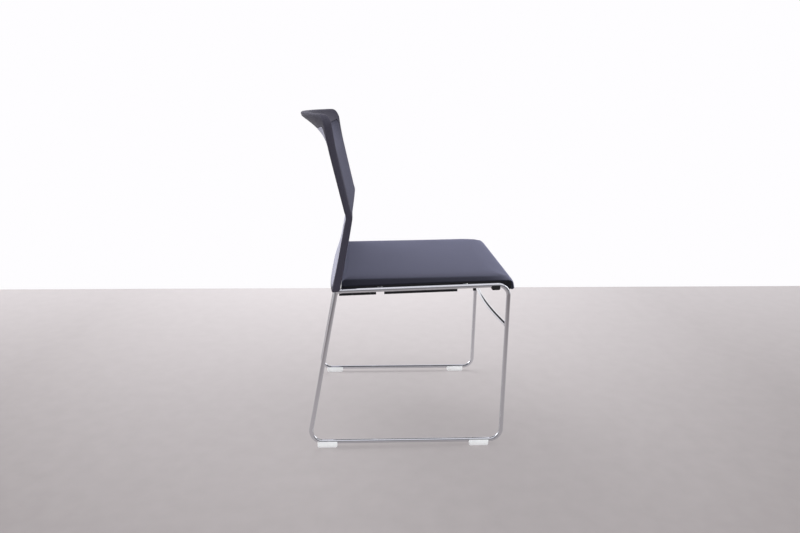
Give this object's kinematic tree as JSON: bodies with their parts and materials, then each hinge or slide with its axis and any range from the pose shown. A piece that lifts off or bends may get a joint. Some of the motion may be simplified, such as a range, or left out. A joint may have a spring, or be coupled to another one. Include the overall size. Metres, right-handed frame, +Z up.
{
  "type": "sled base visitor chair",
  "caption": "Armless visitor chair: bent chromed rod sled frame with cross brace and clear glides, thin upholstered seat with waterfall front, kinked moulded back with pad",
  "frame": {"origin": "on the floor, under the middle of the whole chair", "axes": "+Z up, the sitter faces -Y, +X is the sitter's left"},
  "size_m": [0.5278, 0.5395, 0.8365],
  "materials": {
    "chromed_rod": "bright chrome plate",
    "plain_steel": "zinc plated",
    "clear_glide": "clear moulded plastic",
    "black_rubber": "matt",
    "black_shell": "matt moulded",
    "dark_frame": "satin moulded, fine grain",
    "pale_panel": "matt moulded, fine grain",
    "plywood": "bare plywood",
    "upholstery": "close woven wool-look cloth"
  },
  "bodies": {
    "root": {"back_frame": "dark_frame", "back_pad": "upholstery", "back_rear_panel": "pale_panel", "back_screw_left": "plain_steel", "back_screw_right": "plain_steel", "front_cross_bar": "plain_steel", "front_cross_brace": "chromed_rod", "glide_front_left": "clear_glide", "glide_front_right": "clear_glide", "glide_rear_left": "clear_glide", "glide_rear_right": "clear_glide", "left_side_frame": "chromed_rod", "rear_cross_bar": "plain_steel", "right_side_frame": "chromed_rod", "seat_board": "plywood", "seat_cushion": "upholstery", "seat_screw_front_left": "plain_steel", "seat_screw_front_right": "plain_steel", "seat_screw_rear_left": "plain_steel", "seat_screw_rear_right": "plain_steel", "seat_shell": "black_shell", "seat_tab_front_left": "plain_steel", "seat_tab_front_right": "plain_steel", "seat_tab_rear_left": "plain_steel", "seat_tab_rear_right": "plain_steel", "stacking_bumper_left": "black_rubber", "stacking_bumper_right": "black_rubber"}
  },
  "joints": []
}
